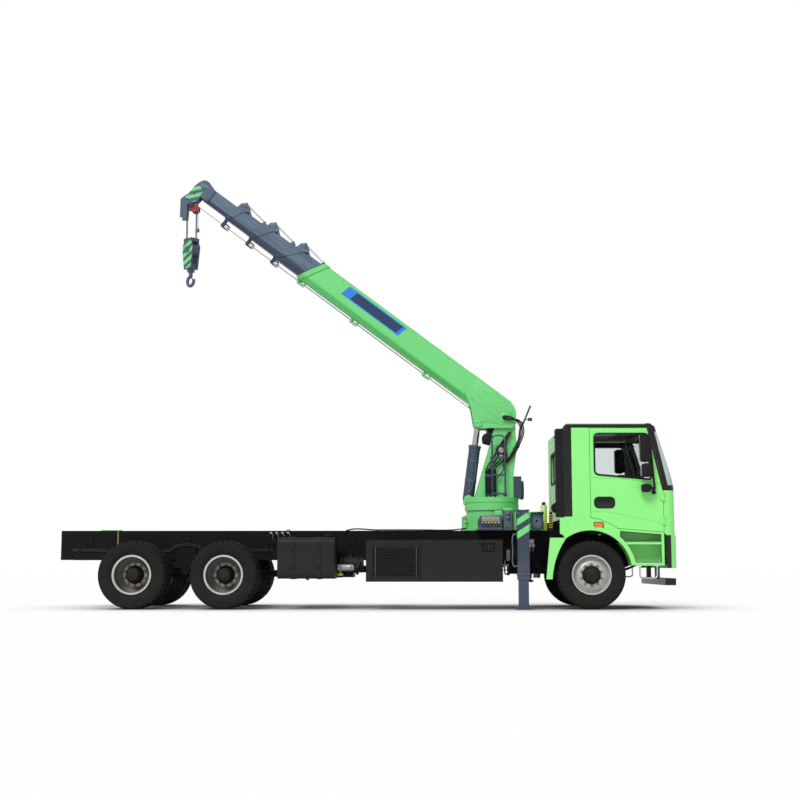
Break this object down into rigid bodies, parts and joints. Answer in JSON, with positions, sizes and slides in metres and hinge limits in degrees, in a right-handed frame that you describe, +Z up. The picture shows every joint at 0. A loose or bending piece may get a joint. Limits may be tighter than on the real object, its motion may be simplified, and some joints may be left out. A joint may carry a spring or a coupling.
{
  "type": "truck-mounted crane",
  "caption": "Three-axle cab-over truck chassis with a slewing, luffing telescopic boom crane, hook block and outriggers behind the cab.",
  "frame": {"origin": "middle of the bounding box on the ground, tyres at Z = 0", "axes": "+X towards the truck's front, +Y to its left, +Z up"},
  "size_m": [9.61, 2.7, 7.0328],
  "materials": {
    "cab_paint": "gloss",
    "crane_paint": "satin",
    "slate_paint": "satin",
    "chassis_black": "satin",
    "black_plastic": "matte",
    "silver_rim": "satin",
    "rod_chrome": "polished",
    "tyre": "matte",
    "glass": "clear",
    "lamp": "gloss",
    "coolant": "translucent"
  },
  "bodies": {
    "chassis": {"frame_rails": "chassis_black", "subframe": "chassis_black", "front_axle": "chassis_black", "rear_axles": "chassis_black", "leaf_springs": "chassis_black", "driveline": "chassis_black", "tail_beam": "chassis_black", "fuel_tank": "chassis_black", "side_cover": "chassis_black", "left_gear": "chassis_black", "cab_rear_gear": "coolant", "intake_duct": "black_plastic", "cab_shell": "cab_paint", "cab_roof": "cab_paint", "cab_front": "cab_paint", "cab_glass": "glass", "cab_interior": "black_plastic", "bumper": "cab_paint", "lamps": "lamp", "fenders": "cab_paint", "crane_base": "crane_paint", "console": "slate_paint"},
    "steer_left": {"knuckle_left": "chassis_black"},
    "front_wheel_left": {"front_tyre_left": "tyre", "front_rim_left": "silver_rim"},
    "rear_wheels_1_left": {"rear_tyres_1_left": "tyre", "rear_rims_1_left": "silver_rim"},
    "rear_wheels_2_left": {"rear_tyres_2_left": "tyre", "rear_rims_2_left": "silver_rim"},
    "door_left": {"door_left": "cab_paint", "door_glass_left": "glass", "mirrors_left": "black_plastic"},
    "beam_left": {"outrigger_beam_left": "slate_paint"},
    "leg_left": {"outrigger_leg_left": "slate_paint"},
    "steer_right": {"knuckle_right": "chassis_black"},
    "front_wheel_right": {"front_tyre_right": "tyre", "front_rim_right": "silver_rim"},
    "rear_wheels_1_right": {"rear_tyres_1_right": "tyre", "rear_rims_1_right": "silver_rim"},
    "rear_wheels_2_right": {"rear_tyres_2_right": "tyre", "rear_rims_2_right": "silver_rim"},
    "door_right": {"door_right": "cab_paint", "door_glass_right": "glass", "mirrors_right": "black_plastic"},
    "beam_right": {"outrigger_beam_right": "slate_paint"},
    "leg_right": {"outrigger_leg_right": "slate_paint"},
    "slew": {"turntable": "crane_paint", "column": "crane_paint", "column_gear": "slate_paint"},
    "winch": {"winch_drum": "slate_paint"},
    "barrel": {"lift_barrel": "slate_paint"},
    "rod": {"lift_rod": "rod_chrome"},
    "boom_main": {"boom_main": "crane_paint"},
    "boom_2": {"boom_2": "slate_paint"},
    "boom_3": {"boom_3": "slate_paint"},
    "boom_4": {"boom_4": "slate_paint"},
    "boom_5": {"boom_5": "slate_paint", "boom_head": "slate_paint"},
    "hook": {"hook_block": "slate_paint"}
  },
  "joints": [
    {"name": "steering_left", "type": "hinge", "parent": "chassis", "child": "steer_left", "pos_m": [3.495, 0.88, 0.522], "axis": [0, 0, 1], "range_deg": [-35, 35]},
    {"name": "front_spin_left", "type": "hinge", "parent": "steer_left", "child": "front_wheel_left", "pos_m": [3.495, 1.02, 0.522], "axis": [0, 1, 0], "continuous": true},
    {"name": "rear_spin_1_left", "type": "hinge", "parent": "chassis", "child": "rear_wheels_1_left", "pos_m": [-2.105, 0.93, 0.522], "axis": [0, 1, 0], "continuous": true},
    {"name": "rear_spin_2_left", "type": "hinge", "parent": "chassis", "child": "rear_wheels_2_left", "pos_m": [-3.505, 0.93, 0.522], "axis": [0, 1, 0], "continuous": true},
    {"name": "door_hinge_left", "type": "hinge", "parent": "chassis", "child": "door_left", "pos_m": [4.595, 1.214, 1.6], "axis": [0, 0, -1], "range_deg": [0, 70]},
    {"name": "beam_slide_left", "type": "slide", "parent": "chassis", "child": "beam_left", "axis": [0, 1, 0], "range_m": [0, 1.7]},
    {"name": "leg_slide_left", "type": "slide", "parent": "beam_left", "child": "leg_left", "axis": [0, 0, 1], "range_m": [-0.38, 0]},
    {"name": "steering_right", "type": "hinge", "parent": "chassis", "child": "steer_right", "pos_m": [3.495, -0.88, 0.522], "axis": [0, 0, 1], "range_deg": [-35, 35]},
    {"name": "front_spin_right", "type": "hinge", "parent": "steer_right", "child": "front_wheel_right", "pos_m": [3.495, -1.02, 0.522], "axis": [0, 1, 0], "continuous": true},
    {"name": "rear_spin_1_right", "type": "hinge", "parent": "chassis", "child": "rear_wheels_1_right", "pos_m": [-2.105, -0.93, 0.522], "axis": [0, 1, 0], "continuous": true},
    {"name": "rear_spin_2_right", "type": "hinge", "parent": "chassis", "child": "rear_wheels_2_right", "pos_m": [-3.505, -0.93, 0.522], "axis": [0, 1, 0], "continuous": true},
    {"name": "door_hinge_right", "type": "hinge", "parent": "chassis", "child": "door_right", "pos_m": [4.595, -1.214, 1.6], "axis": [0, 0, 1], "range_deg": [0, 70]},
    {"name": "beam_slide_right", "type": "slide", "parent": "chassis", "child": "beam_right", "axis": [0, -1, 0], "range_m": [0, 1.7]},
    {"name": "leg_slide_right", "type": "slide", "parent": "beam_right", "child": "leg_right", "axis": [0, 0, 1], "range_m": [0, 0.38]},
    {"name": "slewing", "type": "hinge", "parent": "chassis", "child": "slew", "pos_m": [2.045, 0, 1.61], "axis": [0, 0, 1], "continuous": true},
    {"name": "winch_spin", "type": "hinge", "parent": "slew", "child": "winch", "pos_m": [2.051, 0, 2.85], "axis": [0, 1, 0], "continuous": true},
    {"name": "luffing", "type": "hinge", "parent": "slew", "child": "boom_main", "pos_m": [2.252, 0, 3.031], "axis": [0, 1, 0], "range_deg": [-36, 40]},
    {"name": "barrel_pivot", "type": "hinge", "parent": "slew", "child": "barrel", "pos_m": [1.666, 0, 1.712], "axis": [0, 1, 0], "range_deg": [-4.2, 3.8]},
    {"name": "rod_slide", "type": "slide", "parent": "barrel", "child": "rod", "axis": [0.131, 0, 0.9914], "range_m": [-0.24, 0.27]},
    {"name": "telescope_2", "type": "slide", "parent": "boom_main", "child": "boom_2", "axis": [-0.7986, 0, 0.6018], "range_m": [0, 3.3]},
    {"name": "telescope_3", "type": "slide", "parent": "boom_2", "child": "boom_3", "axis": [-0.7986, 0, 0.6018], "range_m": [0, 3.3]},
    {"name": "telescope_4", "type": "slide", "parent": "boom_3", "child": "boom_4", "axis": [-0.7986, 0, 0.6018], "range_m": [0, 3.3]},
    {"name": "telescope_5", "type": "slide", "parent": "boom_4", "child": "boom_5", "axis": [-0.7986, 0, 0.6018], "range_m": [0, 3.3]},
    {"name": "hook_hang", "type": "hinge", "parent": "boom_5", "child": "hook", "pos_m": [-2.90984, 0, 6.63273], "axis": [0, 1, 0], "range_deg": [-40, 36]}
  ],
  "couplings": [
    {"joint": "steering_right", "follows": "steering_left", "ratio": 1},
    {"joint": "barrel_pivot", "follows": "luffing", "ratio": -0.1},
    {"joint": "rod_slide", "follows": "luffing", "m_per_rad": 0.365},
    {"joint": "telescope_3", "follows": "telescope_2", "ratio": 1},
    {"joint": "telescope_4", "follows": "telescope_2", "ratio": 1},
    {"joint": "telescope_5", "follows": "telescope_2", "ratio": 1},
    {"joint": "hook_hang", "follows": "luffing", "ratio": -1}
  ]
}
